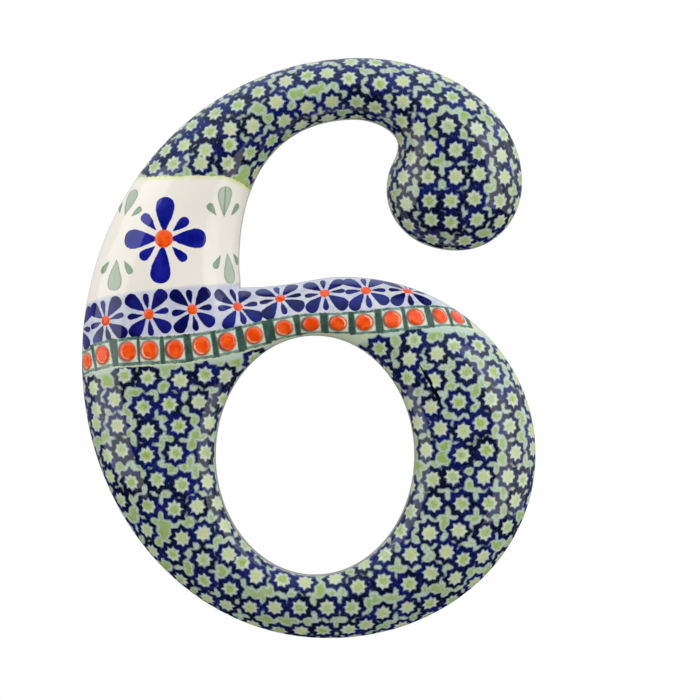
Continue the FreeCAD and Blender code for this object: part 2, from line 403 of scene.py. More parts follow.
TILE_LINE = guide([
    (-70, -6.5), (-59, -1.5), (-51, -0.6), (-38, -0.2), (-30, 0.9), (-22, 2.1), (-6, 6.1), (2, 7.3),
    (16, 7.6), (26, 8.7), (33, 9.5), (40, 9.9), (46, 9.5), (52, 7.8), (60, 4.0)])
FLOWER_LINE = guide([
    (-70, 4.0), (-58, 8.4), (-45, 10.2), (-32, 11.6), (-19, 12.3), (-7, 14.9), (6, 16.4), (18, 17.2),
    (30, 17.3), (42, 15.5)])
PANEL_LINE = guide([(-80, 50.0), (-22, 50.4), (-16, 47.0), (-12, 44.0)])
TILE_HALF = 4.2
BAND_HALF = 6.0
BAND_CEILING = 30.0       # the band of blossoms stays below this height
HOOK_FLOOR = 25.0         # the hook's stars stay above it
BOWL_CEILING = 23.5       # and the bowl's stars below this one
NOWHERE = -20.0           # a depth that is well outside


def tile_height(x):
    """How tall the squares are along the row, as a share of the tallest."""
    return np.interp(x, [-66, -58, -30, -12, 0, 10, 18, 26, 34, 40, 46, 52],
                     [0.8, 0.98, 0.96, 0.87, 0.76, 0.77, 0.83, 0.9, 0.93, 0.94, 0.92, 0.85])


def star_depth(at):
    """How far points lie inside the fields of stars, in mm."""
    x, z = at[:, 0], at[:, 2]
    # Over the counter the stars start lower under the squares.
    below_line = tile_height(x) * TILE_HALF + np.interp(x, [4, 9, 14, 20, 28], [0.4, 3.6, 3.6, 0.3, -0.5])
    bowl = TILE_LINE(x) - below_line - z
    hook = np.where(x < 0, z - PANEL_LINE(x), z - HOOK_FLOOR)
    return np.where(z > HOOK_FLOOR, hook, np.where(z > BOWL_CEILING, NOWHERE, bowl))


class Mark:
    """A place on the skin where something is painted, with its own flat axes."""

    def __init__(self, centre, heading):
        self.centre = np.asarray(centre, float)
        nearest = painted_ids[((points[painted_ids] - centre) ** 2).sum(axis=1).argmin()]
        self.normal = normals[nearest]
        across = heading - self.normal * (heading @ self.normal)
        self.across = across / np.linalg.norm(across)
        self.up = np.cross(self.normal, self.across)

    def flat(self, at):
        """Points in the mark's own plane, at their true distance from its centre."""
        away = at - self.centre
        flat = away - (away @ self.normal)[..., None] * self.normal
        stretch = np.linalg.norm(away, axis=-1) / np.maximum(np.linalg.norm(flat, axis=-1), 1e-6)
        return np.stack([flat @ self.across, flat @ self.up], axis=-1) * stretch[..., None]


def lift(x, z):
    """The point of the front at a place of the front view."""
    place = np.array([[x, z]])
    return lifted(place, crown_height(place))[0]


def walk(line, stops, pitches):
    """Marks at the stops along a line of the front view, and round both edges, each with its own pitch."""
    x = np.arange(-75, 70, 0.2)
    flat = np.column_stack([x, line(x)])
    inside = is_inside(flat, WALL_LEAN)
    first = np.flatnonzero(inside & (x <= stops[0]) & ~np.roll(inside, 1))[-1]
    beyond = np.flatnonzero(~inside & (x > stops[-1]))
    last = beyond[0] if len(beyond) else len(x)
    flat = flat[first:last]
    path = lifted(flat, crown_height(flat))
    # At both ends the line goes on down the wall.
    down = np.arange(0.5, 12, 0.5)[:, None] * np.array([0, 1, 0])
    path = np.vstack([(path[0] + down)[::-1], path, path[-1] + down])
    walked = walked_length(path)
    front = slice(len(down), -len(down))
    stations = np.interp(stops, path[front, 0], walked[front]).tolist()
    while stations[0] > pitches[0]:
        stations.insert(0, stations[0] - pitches[0])
    while stations[-1] < walked[-1] - pitches[1]:
        stations.append(stations[-1] + pitches[1])
    marks = []
    for station in stations:
        centre, ahead, behind = (
            np.array([np.interp(station + step, walked, path[:, i]) for i in range(3)])
            for step in (0, 1, -1))
        marks.append(Mark(centre, ahead - behind))
    return marks


# A petal's half width is FULL * share ** POINT * sqrt(1 - share ** END) of the most, along its length.
PETAL_FULL = 1.64
PETAL_POINT = 0.9
PETAL_END = 3.4
BLUE, GREEN, STRAY = range(3)


class Petal:
    """A teardrop stroke, from its point at the root to its round end. The tone is BLUE, GREEN or STRAY."""

    def __init__(self, mark, root, tip, width, tone):
        self.mark = mark
        self.root = np.asarray(root, float)
        along = np.asarray(tip, float) - self.root
        self.length = np.linalg.norm(along)
        self.along = along / self.length
        self.width = width
        self.tone = tone

    def place(self, at):
        """Points along and across the stroke, from its root."""
        away = self.mark.flat(at) - self.root
        return np.stack([away @ self.along, away @ np.array([-self.along[1], self.along[0]])], axis=-1)

    def gap(self, at):
        """Roughly how far points lie outside the stroke."""
        u, v = self.place(at).T
        beyond = np.maximum(np.maximum(-u, u - self.length), 0)
        share = np.clip(u / self.length, 0, 1)
        fullness = PETAL_FULL * share ** PETAL_POINT * np.sqrt(np.maximum(1 - share ** PETAL_END, 0))
        spare = self.width / 2 * fullness - np.abs(v)
        return np.hypot(beyond, np.maximum(-spare, 0)) - np.minimum(spare, 0.3) * (beyond == 0)


def polar(radius, degrees):
    return np.array([math.cos(math.radians(degrees)), math.sin(math.radians(degrees))]) * radius


petals = []
hearts = []               # a mark and a radius each


def paint_flower(mark, turn, large, small, heart):
    """Four large petals, four small ones between them, and a heart. A petal's size is root, tip, width."""
    for quarter in range(4):
        for (root, tip, width), offset in ((large, 0), (small, 45)):
            way = turn + quarter * 90 + offset + random.uniform(-4, 4)
            tip = tip * random.uniform(0.95, 1.05)
            width = width * random.uniform(0.93, 1.07)
            petals.append(Petal(mark, polar(root, way), polar(tip, way), width, BLUE))
    hearts.append((mark, heart))


# A spray's leaves: how far each turns from the spray's way, how far aside it starts, and its root, tip
# and width.
LEAVES = ((0, 0, 0.3, 9.3, 4.9), (38, 2.2, 0.8, 5.3, 2.1), (-38, -2.2, 0.8, 5.3, 2.1))


def paint_spray(x, z, way, scale):
    """A large leaf with a small one on each side, from a place of the front view."""
    mark = Mark(lift(x, z), RIGHT)
    for offset, side, root, tip, width in LEAVES:
        start = polar(side, way + 90)
        lean = way + offset + random.uniform(-3, 3)
        ends = start + polar(root, lean), start + polar(tip * scale, lean)
        petals.append(Petal(mark, *ends, width * scale, GREEN))


# Stops along the lines are the x of what is painted there.
BLOSSOM_STOPS = (-57.9, -45.2, -32.5, -19.3, -7.1, 5.9, 18.0, 30.2)
BLOSSOM_PITCHES = (12.7, 12.7)
TILE_STOPS = (
    -58.7, -51.4, -44.8, -37.7, -29.7, -22.4, -14.5, -5.7, 1.8, 9.9, 17.7, 25.7, 32.6, 39.6, 45.0)
TILE_PITCHES = (7.2, 10.0)

paint_flower(Mark(lift(-40.8, 32.1), RIGHT), 88, (1.6, 12.5, 5.7), (3.3, 9.5, 2.9), 2.65)
for spray in (
        (-23.4, 38.2, 86, 1.0), (-52.6, 38.6, 62, 0.95), (-54.6, 26.4, 261, 1.02), (-22.5, 28.3, 275, 1.0)):
    paint_spray(*spray)
blossoms = walk(FLOWER_LINE, BLOSSOM_STOPS, BLOSSOM_PITCHES)
for mark in blossoms:
    paint_flower(mark, 48, (1.3, 8.1, 3.8), (1.5, 6.1, 1.8), 1.5)
tiles = walk(TILE_LINE, TILE_STOPS, TILE_PITCHES)
for mark in tiles:
    mark.up = mark.up / tile_height(mark.centre[0])
    # The last squares on the right are narrower.
    mark.across = mark.across / np.interp(mark.centre[0], [33, 38], [1.0, 0.86])
# Stray lines of the brush in the field of stars.
for x, z, way, length in ((33.2, -4.2, -57, 7.5), (35.6, -8.2, -60, 8.0)):
    petals.append(Petal(Mark(lift(x, z), RIGHT), (0, 0), polar(length, way), 1.1, STRAY))

HOOK_STAR_AREA = 52.0
BOWL_STAR_AREA = 57.0
STAR_SAMPLE = 9000        # points of the skin that stand for a field of stars
SETTLING_ROUNDS = 9


def spread_stars(chosen, area_each):
    """Places for stamps in loose rows and columns over the chosen points, as a hand would fill them."""
    count = round(areas[chosen].sum() / area_each)
    chosen = random.permutation(chosen)[:STAR_SAMPLE]
    at, weight = points[chosen].astype(np.float32), areas[chosen]
    pitch = math.sqrt(area_each)
    # Points near the crossings of a square net come first.
    off_net = np.abs(at[:, [0, 2]] / pitch - np.round(at[:, [0, 2]] / pitch)).max(axis=1)
    order = np.argsort(np.round(off_net * 4))
    at, weight = at[order], weight[order]
    gap = 0.75 * pitch
    places = []
    while len(places) < count:
        free = np.ones(len(at), bool)
        for place in places:
            free &= np.abs(at - place).max(axis=1) > gap
        while len(places) < count and free.any():
            places.append(at[free.argmax()])
            free &= np.abs(at - places[-1]).max(axis=1) > gap
        gap *= 0.95
    places = np.array(places)
    for _ in range(SETTLING_ROUNDS):
        # The high power makes the cells square.
        away = (at[:, None] - places[None]) ** 2
        nearest = (away * away * away).sum(axis=2).argmin(axis=1)
        total = np.zeros(len(places))
        moved = np.zeros_like(places)
        np.add.at(total, nearest, weight)
        np.add.at(moved, nearest, at * weight[:, None])
        places = (moved / np.maximum(total, 1e-9)[:, None]).astype(np.float32)
    places += random.normal(0, 0.2, places.shape)
    marks = []
    for place in places:
        nearest = ((at - place) ** 2).sum(axis=1).argmin()
        marks.append(Mark(at[nearest], RIGHT + random.normal(0, 0.1, 3)))
    return marks


starry = painted_ids[star_depth(points[painted_ids]) > 1.0]
stars = spread_stars(starry[points[starry, 2] > HOOK_FLOOR], HOOK_STAR_AREA)
stars += spread_stars(starry[points[starry, 2] <= HOOK_FLOOR], BOWL_STAR_AREA)


# What each corner of the mesh knows of the paint near it

attributes = {}
FAR = 50.0
PETAL_REACH = 20.0        # petals farther than this from a triangle aren't painted there


def stamp(name, marks, amount, third):
    """Keep each corner's place in the flat axes of its nearest marks, with a third number for each mark."""
    centres = np.array([mark.centre for mark in marks])
    near = np.empty((len(triangles), amount), int)
    for rows in in_steps(len(triangles)):
        away = ((middles[rows, None] - centres[None]) ** 2).sum(axis=2)
        near[rows] = np.argpartition(away, range(amount), axis=1)[:, :amount]
    for rank in range(amount):
        values = np.zeros((len(triangles), 3, 3))
        for number, mark in enumerate(marks):
            rows = np.flatnonzero(near[:, rank] == number)
            values[rows, :, :2] = mark.flat(corners[rows])
            values[rows, :, 2] = third[number]
        attributes[f"{name}_{rank + 1}"] = values


def stamp_petals(amount):
    """Keep each corner's place along its nearest petals, with their length, half width, tone and a seed."""
    gaps = np.full((len(triangles), len(petals)), FAR)
    for number, petal in enumerate(petals):
        rows = np.flatnonzero(((middles - petal.mark.centre) ** 2).sum(axis=1) < PETAL_REACH ** 2)
        gaps[rows, number] = petal.gap(middles[rows])
    near = np.argsort(gaps, axis=1)[:, :amount]
    for rank in range(amount):
        place = np.full((len(triangles), 3, 3), FAR)
        look = np.zeros((len(triangles), 3, 3))
        look[:, :, 0] = 1
        for number, petal in enumerate(petals):
            rows = np.flatnonzero((near[:, rank] == number) & (gaps[:, number] < PETAL_REACH))
            place[rows, :, :2] = petal.place(corners[rows])
            place[rows, :, 2] = petal.length
            look[rows] = (petal.width / 2, petal.tone, random.uniform())
        attributes[f"petal_{rank + 1}"] = place
        attributes[f"petal_look_{rank + 1}"] = look


def field():
    """Each corner's depth in the stars' fields, its depth in the band of blossoms, and its height."""
    at = corners.reshape(-1, 3)
    band = BAND_HALF + 1.0 - np.abs(at[:, 2] - FLOWER_LINE(at[:, 0]))
    band = np.where(at[:, 2] < BAND_CEILING, band, NOWHERE)
    return np.stack([star_depth(at), band, -at[:, 1]], axis=1).reshape(-1, 3, 3)


stamp("star", stars, 3, random.uniform(0, 1, len(stars)))
stamp("tile", tiles, 2, random.uniform(0, 1, len(tiles)))
stamp("heart", [mark for mark, _ in hearts], 1, [radius for _, radius in hearts])
stamp_petals(2)
attributes["field"] = field()


# The mesh

LANE_LENGTH = 100.0       # the wall is laid out in lanes of this length in mm
LANE_LEFT = 0.8           # where the lanes start across the picture
LANE_PITCH = 0.02
LANE_WIDTH = 0.018
WALL_TALL = 25
BACK_SHARE = 0.27         # how much smaller the back is drawn than the front
SOCKET_SLANT = 0.004


def unroll_walls():
    """Each point's length along the loop it is close to, and its height, and the loops' whole length."""
    unrolled = np.zeros((len(points), 2))
    flat = points[painted_ids][:, [0, 2]]
    whole = 0.0
    for loop, _ in LOOPS:
        walked = walked_length(loop)
        # The nearest of every fourth point is found first, and then the nearest of those around it.
        apart = ((flat[:, None] - loop[None, ::4]) ** 2).sum(axis=2)
        close = np.sqrt(apart.min(axis=1)) < 3
        around = (apart[close].argmin(axis=1)[:, None] * 4 + np.arange(-3, 4)) % len(loop)
        apart = ((flat[close, None] - loop[around]) ** 2).sum(axis=2)
        nearest = around[np.arange(len(around)), apart.argmin(axis=1)]
        ids = painted_ids[close]
        unrolled[ids] = np.column_stack([whole + walked[nearest], -points[ids, 1]])
        whole += walked[-1] + OUTLINE_STEP
    return unrolled, whole


def bake_map():
    """Flat places for the picture of the paint: the front, the walls beside it, the back in its counter."""
    unrolled, whole = unroll_walls()
    low = outer.min(axis=0) - 1
    tall = np.ptp(outer[:, 1]) + 2
    at = (corners[:, :, [0, 2]] - low) / tall
    walls = parts == WALL
    lengths, heights = np.moveaxis(unrolled[triangles[walls]], 2, 0)
    # A triangle that closes a loop starts again after its end.
    wrapped = np.ptp(lengths, axis=1) > whole / 2
    lengths = np.where(wrapped[:, None] & (lengths < whole / 2), lengths + whole, lengths)
    lane = np.floor(lengths.min(axis=1) / LANE_LENGTH)[:, None]
    at[walls, :, 1] = (lengths - lane * LANE_LENGTH) / (LANE_LENGTH * 1.05) + 0.01
    at[walls, :, 0] = LANE_LEFT + lane * LANE_PITCH + heights / WALL_TALL * LANE_WIDTH
    middle = (counter.max(axis=0) + counter.min(axis=0)) / 2
    rest = parts >= BACK
    at[rest] = (middle + corners[rest][:, :, [0, 2]] * BACK_SHARE - low) / tall
    inner = parts == SOCKET
    at[inner, :, 0] += SOCKET_SLANT * corners[inner][:, :, 1] / SOCKET_DEPTH
    return at


mesh = bpy.data.meshes.new("number_skin")
mesh.from_pydata((points * MM).tolist(), [], triangles.tolist())
mesh.polygons.foreach_set("use_smooth", parts != BACK)
mesh.polygons.foreach_set("material_index", (parts >= BACK).astype(np.int32))
for name, values in attributes.items():
    layer = mesh.attributes.new(name, "FLOAT_VECTOR", "CORNER")
    layer.data.foreach_set("vector", values.astype(np.float32).ravel())
uv = mesh.uv_layers.new(name="OFBake")
uv.data.foreach_set("uv", bake_map().astype(np.float32).ravel())
mesh.validate()
mesh.update()
number = bpy.data.objects.new("number_skin", mesh)
bpy.context.scene.collection.objects.link(number)
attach(number, "root")
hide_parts(NUMBER)


# Materials

def srgb(red, green, blue):
    """A colour as seen, from 0 to 255, as the light it stands for."""
    def light(value):
        value /= 255
        return value / 12.92 if value <= 0.04045 else ((value + 0.055) / 1.055) ** 2.4
    return (light(red), light(green), light(blue), 1)


# A name in the plural holds two colours, and the paint wanders between them.
STAR_GREENS = srgb(124, 154, 66), srgb(170, 188, 110)
STAR_PALES = srgb(184, 200, 206), srgb(200, 212, 186)
STAR_WHITE = srgb(210, 213, 176)
GROUND_PALE = srgb(174, 193, 184)
GROUND_GREEN = srgb(142, 166, 90)
INKS = srgb(3, 10, 40), srgb(9, 20, 92)
INK_GREEN = srgb(6, 30, 44)
PANEL_WHITE = srgb(228, 224, 214)
BAND_WHITES = srgb(180, 186, 206), srgb(200, 203, 208)
PANEL_FRINGE = srgb(206, 216, 140)
TILE_FRINGE = srgb(192, 200, 172)
BLOSSOM_BLUES = srgb(6, 16, 122), srgb(28, 32, 146)
BAND_BLUES = srgb(8, 10, 72), srgb(24, 28, 116)
LEAF_GREENS = srgb(128, 154, 126), srgb(168, 182, 162)
LEAF_EDGE = srgb(116, 144, 116)
LEAF_VEIN = srgb(104, 136, 108)
STRAY_INK = srgb(2, 4, 26)
ORANGES = srgb(226, 68, 12), srgb(240, 92, 26)
TILE_BARS = srgb(24, 58, 48), srgb(122, 152, 138)
TILE_GROUNDS = srgb(190, 200, 182), srgb(218, 218, 204)
# A painted shadow beside the raised dots, and a painted glint on them: shade and a reflection of the lamps,
# painted into the colour.
DOT_PAINTED_SHADOW = srgb(58, 42, 22)
DOT_PAINTED_GLINT = srgb(250, 206, 176)
FOOT_CREAM = srgb(212, 205, 178)
CLAYS = srgb(214, 200, 172), srgb(226, 215, 192)
CLAY_SPECK = srgb(150, 118, 84)


class Nodes:
    """Builds a tree of nodes. Its helpers take and return sockets, numbers or colours."""

    def __init__(self, tree):
        self.tree = tree
        tree.nodes.clear()

    def node(self, kind, *inputs, **settings):
        node = self.tree.nodes.new(kind)
        for key, value in settings.items():
            setattr(node, key, value)
        for socket, value in zip(node.inputs, inputs):
            self.set(socket, value)
        return node

    def set(self, socket, value):
        if isinstance(value, bpy.types.NodeSocket):
            self.tree.links.new(value, socket)
        elif value is not None:
            socket.default_value = value

    def math(self, operation, *values):
        return self.node("ShaderNodeMath", *values, operation=operation).outputs[0]

    def add(self, a, b):
        return self.math("ADD", a, b)

    def subtract(self, a, b):
        return self.math("SUBTRACT", a, b)

    def times(self, a, b):
        return self.math("MULTIPLY", a, b)

    def most(self, a, b):
        return self.math("MAXIMUM", a, b)

    def least(self, a, b):
        return self.math("MINIMUM", a, b)

    def size(self, a):
        return self.math("ABSOLUTE", a)

    def reach(self, x, y):
        """How far a place with the axes x and y is from nought."""
        return self.math("SQRT", self.add(self.times(x, x), self.times(y, y)))

    def ramp(self, value, low, high, start=0.0, end=1.0):
        """A soft step from start to end as the value goes from low to high. Low may be above high."""
        if low > high:
            low, high, start, end = high, low, end, start
        return self.node(
            "ShaderNodeMapRange", value, low, high, start, end, interpolation_type="SMOOTHSTEP").outputs[0]

    def axes(self, vector):
        return self.node("ShaderNodeSeparateXYZ", vector).outputs

    def known(self, name):
        """The three numbers that the mesh's corners know by a name."""
        return self.axes(self.node("ShaderNodeAttribute", attribute_name=name).outputs["Vector"])

    def blend(self, share, first, second):
        node = self.node("ShaderNodeMix", data_type="RGBA")
        self.set(node.inputs[0], share)
        self.set(node.inputs[6], first)
        self.set(node.inputs[7], second)
        return node.outputs[2]

    def noise(self, place, per_mm, detail=2.0, roughness=0.5):
        node = self.node("ShaderNodeTexNoise")
        self.set(node.inputs["Vector"], place)
        node.inputs["Scale"].default_value = per_mm / MM
        node.inputs["Detail"].default_value = detail
        node.inputs["Roughness"].default_value = roughness
        return node.outputs["Fac"]

    def wobble(self, place, per_mm, most):
        """A number that wanders about nought, by about 'most' either way."""
        return self.times(self.subtract(self.noise(place, per_mm), 0.5), 4 * most)

    def surface(self, colour, roughness, relief=None):
        """The material's shader, with a relief in mm, as its output."""
        shader = self.node("ShaderNodeBsdfPrincipled")
        self.set(shader.inputs["Base Color"], colour)
        self.set(shader.inputs["Roughness"], roughness)
        if relief is not None:
            bump = self.node("ShaderNodeBump")
            bump.inputs["Strength"].default_value = 1.0
            bump.inputs["Distance"].default_value = MM
            self.set(bump.inputs["Height"], relief)
            self.set(shader.inputs["Normal"], bump.outputs[0])
        self.node("ShaderNodeOutputMaterial", shader.outputs[0])
        return shader

    def background(self, colour, strength):
        return self.node("ShaderNodeBackground", colour, strength).outputs[0]

    def either(self, share, first, second):
        return self.node("ShaderNodeMixShader", share, first, second).outputs[0]


def new_material(name, builder=Nodes):
    """A material, and the builder of its nodes."""
    material = bpy.data.materials.new(name)
    material.use_nodes = True
    return material, builder(material.node_tree)


STAR_SIDE = math.pi / 8   # the angle from a star's tip to the notch beside it
OUTER_STAR = (4.5, 3.5)   # the distance of its tips and of its notches
INNER_STAR = (2.45, 1.82)
SPONGE_BLUR = 0.35
BRUSH_BLUR = 0.12


def star_line(tip, notch):
    """The direction and distance of the straight side between a star's tip and notch, folded to one side."""
    end = (notch * math.cos(STAR_SIDE), notch * math.sin(STAR_SIDE))
    along = (end[0] - tip, end[1])
    length = math.hypot(*along)
    normal = (along[1] / length, -along[0] / length)
    return math.atan2(normal[1], normal[0]), normal[0] * tip


class Glaze(Nodes):
    """The painted glaze. Each layer takes the colour below it and returns the colour with its own self."""

    def __init__(self, tree):
        super().__init__(tree)
        self.place = self.node("ShaderNodeTexCoord").outputs["Object"]
        self.star_in, self.band_in, self.height = self.known("field")
        # Soft irregularities that every brush and sponge stamp shares.
        self.fine = self.wobble(self.place, 1.1, 0.22)
        self.coarse = self.wobble(self.place, 0.35, 0.30)
        self.edge = self.add(self.fine, self.times(self.coarse, 0.5))
        self.cloud = self.noise(self.place, 0.16, 3.0)
        self.grain = self.noise(self.place, 2.2, 3.0, 0.6)
        self.orange = self.blend(self.ramp(self.noise(self.place, 0.5), 0.35, 0.65), *ORANGES)
        self.off_stars = self.ramp(self.star_in, 0.6, -0.2)

    def raise_paint(self, relief):
        self.raised = self.most(self.raised, relief)

    def beyond_star(self, radius, folded, star):
        """How far a place lies outside a star, from its radius and its angle folded to one side."""
        way, reach = star_line(*star)
        return self.subtract(self.times(radius, self.math("COSINE", self.subtract(folded, way))), reach)

    def stars(self):
        """Rings of ink between two eight-pointed stars, on pale and green grounds."""
        edge = self.edge
        within = 1.0
        beyond = 9.0
        green_share = 0.0
        whiteness = 0.0
        for number in (1, 2, 3):
            x, y, seed = self.known(f"star_{number}")
            radius = self.reach(x, y)
            turn = self.add(self.math("ARCTAN2", y, x), STAR_SIDE)
            folded = self.math("FLOORED_MODULO", turn, 2 * STAR_SIDE)
            folded = self.size(self.subtract(folded, STAR_SIDE))
            outside = self.add(self.beyond_star(radius, folded, OUTER_STAR), edge)
            outside = self.add(outside, self.ramp(seed, 0.0, 1.0, -0.18, 0.18))
            inside = self.add(self.beyond_star(radius, folded, INNER_STAR), self.times(self.fine, 1.1))
            within = self.least(within, self.ramp(inside, -SPONGE_BLUR, SPONGE_BLUR))
            beyond = self.math("SMOOTH_MIN", beyond, outside, 1.2)
            near = self.ramp(self.add(radius, self.times(edge, 2.0)), 2.1, 0.6)
            green_share = self.most(green_share, near)
            whiteness = self.most(whiteness, self.times(near, self.ramp(seed, 0.35, 0.9)))
        ring = self.times(within, self.ramp(beyond, SPONGE_BLUR, -SPONGE_BLUR))
        self.raised = self.times(ring, 0.4)

        # The ground between the rings is a little darker than the stars within them.
        ground = self.ramp(beyond, -0.6, 0.1)
        green = self.blend(self.ramp(self.grain, 0.3, 0.7), *STAR_GREENS)
        green = self.blend(ground, green, GROUND_GREEN)
        pale = self.blend(self.ramp(self.coarse, -0.3, 0.3), *STAR_PALES)
        pale = self.blend(ground, pale, GROUND_PALE)
        between = self.ramp(self.add(beyond, self.times(edge, 1.5)), 0.1, 1.0)
        green_share = self.most(green_share, between)
        green_share = self.times(green_share, self.ramp(self.cloud, 0.3, 0.6, 0.7, 1.0))
        # Under the squares the ground stays pale.
        clear = self.most(self.ramp(self.band_in, -7.8, -9.4), self.ramp(self.star_in, 0.8, 2.0))
        starry = self.blend(self.times(green_share, clear), pale, green)
        starry = self.blend(self.times(whiteness, 0.5), starry, STAR_WHITE)

        ink = self.blend(self.ramp(self.cloud, 0.38, 0.66), *INKS)
        ink = self.blend(self.ramp(self.coarse, 0.08, 0.34, 0.0, 0.7), ink, INK_GREEN)
        cover = self.times(ring, self.ramp(self.grain, 0.2, 0.5, 0.9, 1.0))
        return self.blend(cover, starry, ink)

    def grounds(self, starry):
        """The white panel, the bluish band and pale fringes along them, beside the fields of stars."""
        star_in, band_in = self.star_in, self.band_in
        bluish = self.blend(self.ramp(self.coarse, -0.25, 0.25), *BAND_WHITES)
        plain = self.blend(self.ramp(self.add(band_in, self.coarse), -0.6, 0.8), PANEL_WHITE, bluish)
        fringe = self.times(self.ramp(star_in, -1.6, -0.2), self.ramp(self.cloud, 0.35, 0.6, 0.3, 0.8))
        fringe = self.times(fringe, self.ramp(band_in, -12.0, -16.0))
        plain = self.blend(fringe, plain, PANEL_FRINGE)
        fringe = self.times(self.ramp(star_in, -5.5, -4.5), self.ramp(band_in, -16.0, -12.0))
        plain = self.blend(fringe, plain, TILE_FRINGE)
        return self.blend(self.ramp(self.add(star_in, self.edge), -0.15, 0.25), plain, starry)

    def strokes(self, colour):
        """Petals, leaves and stray lines."""
        wash = self.ramp(self.add(self.cloud, self.times(self.coarse, 0.3)), 0.35, 0.65)
        in_band = self.ramp(self.band_in, -0.5, 0.5)
        blue = self.blend(in_band, self.blend(wash, *BLOSSOM_BLUES), self.blend(wash, *BAND_BLUES))
        for number in (2, 1):
            u, v, length = self.known(f"petal_{number}")
            half, tone, seed = self.known(f"petal_look_{number}")
            share = self.math("DIVIDE", u, length)
            kept = self.least(self.most(share, 0.0), 1.0)
            body = self.math("SQRT", self.subtract(1.0, self.math("POWER", kept, PETAL_END)))
            body = self.times(self.math("POWER", kept, PETAL_POINT), body)
            wide = self.times(body, self.times(half, PETAL_FULL))
            gap = self.add(self.subtract(self.size(v), wide), self.times(self.edge, 0.45))
            ends = self.times(self.ramp(u, 0.0, 0.15), self.ramp(share, 1.01, 0.99))
            on = self.times(self.ramp(gap, BRUSH_BLUR, -BRUSH_BLUR), ends)
            astray = self.ramp(tone, GREEN + 0.4, GREEN + 0.6)
            on = self.times(on, self.most(self.off_stars, astray))
            leaf = self.blend(self.ramp(half, 1.2, 2.0), *LEAF_GREENS)
            pooled = self.ramp(self.add(gap, self.times(self.coarse, 0.6)), -0.9, 0.0, 0.0, 0.6)
            leaf = self.blend(pooled, leaf, LEAF_EDGE)
            vein = self.ramp(self.subtract(self.size(v), seed), -0.5, -0.9, 0.0, 0.8)
            leaf = self.blend(vein, leaf, LEAF_VEIN)
            stroke = self.blend(astray, self.blend(tone, blue, leaf), STRAY_INK)
            colour = self.blend(on, colour, stroke)
            self.raise_paint(self.times(on, 0.5))
        return colour

    def squares(self, colour):
        """Pale squares with dark bars between them and a raised orange dot in each, with a painted shadow and
        a painted glint.
        """
        edge = self.edge
        streak = self.ramp(self.add(self.grain, self.coarse), 0.1, 0.8, 0.15, 1.0)
        along = self.axes(self.place)[0]
        # Which way the painted glint lies on each dot, by its place along the row.
        glint_x = self.ramp(along, 4 * MM, 10 * MM, -0.7, 0.9)
        glint_y = self.ramp(along, 4 * MM, 10 * MM, -0.7, 0.4)
        for number in (2, 1):
            x, y, seed = self.known(f"tile_{number}")
            wide, tall = self.size(x), self.size(y)
            cell = self.times(self.ramp(wide, 4.9, 4.7), self.ramp(self.add(tall, edge), 4.3, 4.0))
            # The bars between the squares are dark, the strips above and below them a lighter wash.
            strip = self.ramp(self.add(wide, self.coarse), 2.8, 3.3, 1.0, 0.25)
            colour = self.blend(cell, colour, self.blend(self.times(strip, streak), *TILE_BARS))
            rough = self.times(edge, 0.7)
            inner = self.times(
                self.ramp(self.add(wide, rough), 3.0, 2.7), self.ramp(self.add(tall, rough), 3.35, 3.05))
            colour = self.blend(inner, colour, self.blend(self.ramp(self.grain, 0.35, 0.7), *TILE_GROUNDS))
            dot_x = self.add(x, self.ramp(seed, 0.0, 1.0, -0.25, 0.25))
            dot_y = self.times(y, 0.88)
            dot = self.add(self.reach(dot_x, dot_y), self.times(edge, 0.3))
            # Most dots have a painted shadow at their left: a dark rim painted into the colour for the shade
            # beside the raised dot.
            dot_shadow = self.add(dot, self.times(dot_x, self.ramp(seed, 0.0, 1.0, 0.18, 0.0)))
            colour = self.blend(self.ramp(dot_shadow, 3.2, 2.3, 0.0, 0.9), colour, DOT_PAINTED_SHADOW)
            colour = self.blend(self.ramp(dot, 2.6, 2.3), colour, self.orange)
            # A painted glint, a reflection of the lamps painted into the colour, lies inside the lower left
            # edge, and farther right inside the upper right edge.
            toward = self.add(self.times(dot_x, glint_x), self.times(dot_y, glint_y))
            at_edge = self.ramp(self.size(self.subtract(dot, 1.95)), 0.3, 0.05)
            painted_glint = self.times(at_edge, self.ramp(toward, 0.7, 1.6))
            colour = self.blend(self.times(painted_glint, self.ramp(seed, 0.1, 0.7, 0.2, 0.9)), colour, DOT_PAINTED_GLINT)
            self.raise_paint(self.ramp(dot, 2.6, 1.6, 0.0, 3.6))
        return colour

    def blossom_hearts(self, colour):
        x, y, reach = self.known("heart_1")
        heart = self.add(self.subtract(self.reach(x, y), reach), self.times(self.edge, 0.4))
        on = self.times(self.ramp(heart, BRUSH_BLUR, -BRUSH_BLUR), self.off_stars)
        self.raise_paint(self.times(self.ramp(heart, 0.1, -0.9, 0.0, 2.8), self.off_stars))
        return self.blend(on, colour, self.orange)

    def foot(self, colour):
        """The glaze thins to cream along the foot of the wall."""
        rim = self.ramp(self.add(self.height, self.times(self.coarse, 2.5)), 3.4, 2.0)
        return self.blend(self.times(rim, 0.9), colour, FOOT_CREAM)


def painted_glaze():
    material, glaze = new_material("painted_glaze", Glaze)
    colour = glaze.stars()
    for layer in (glaze.grounds, glaze.strokes, glaze.squares, glaze.blossom_hearts, glaze.foot):
        colour = layer(colour)
    waves = glaze.noise(glaze.place, 0.12)
    relief = glaze.add(glaze.times(glaze.raised, 0.12), glaze.times(waves, 0.25))
    shader = glaze.surface(colour, glaze.ramp(glaze.cloud, 0.3, 0.7, 0.05, 0.10), relief)
    shader.inputs["IOR"].default_value = 1.5
    return material


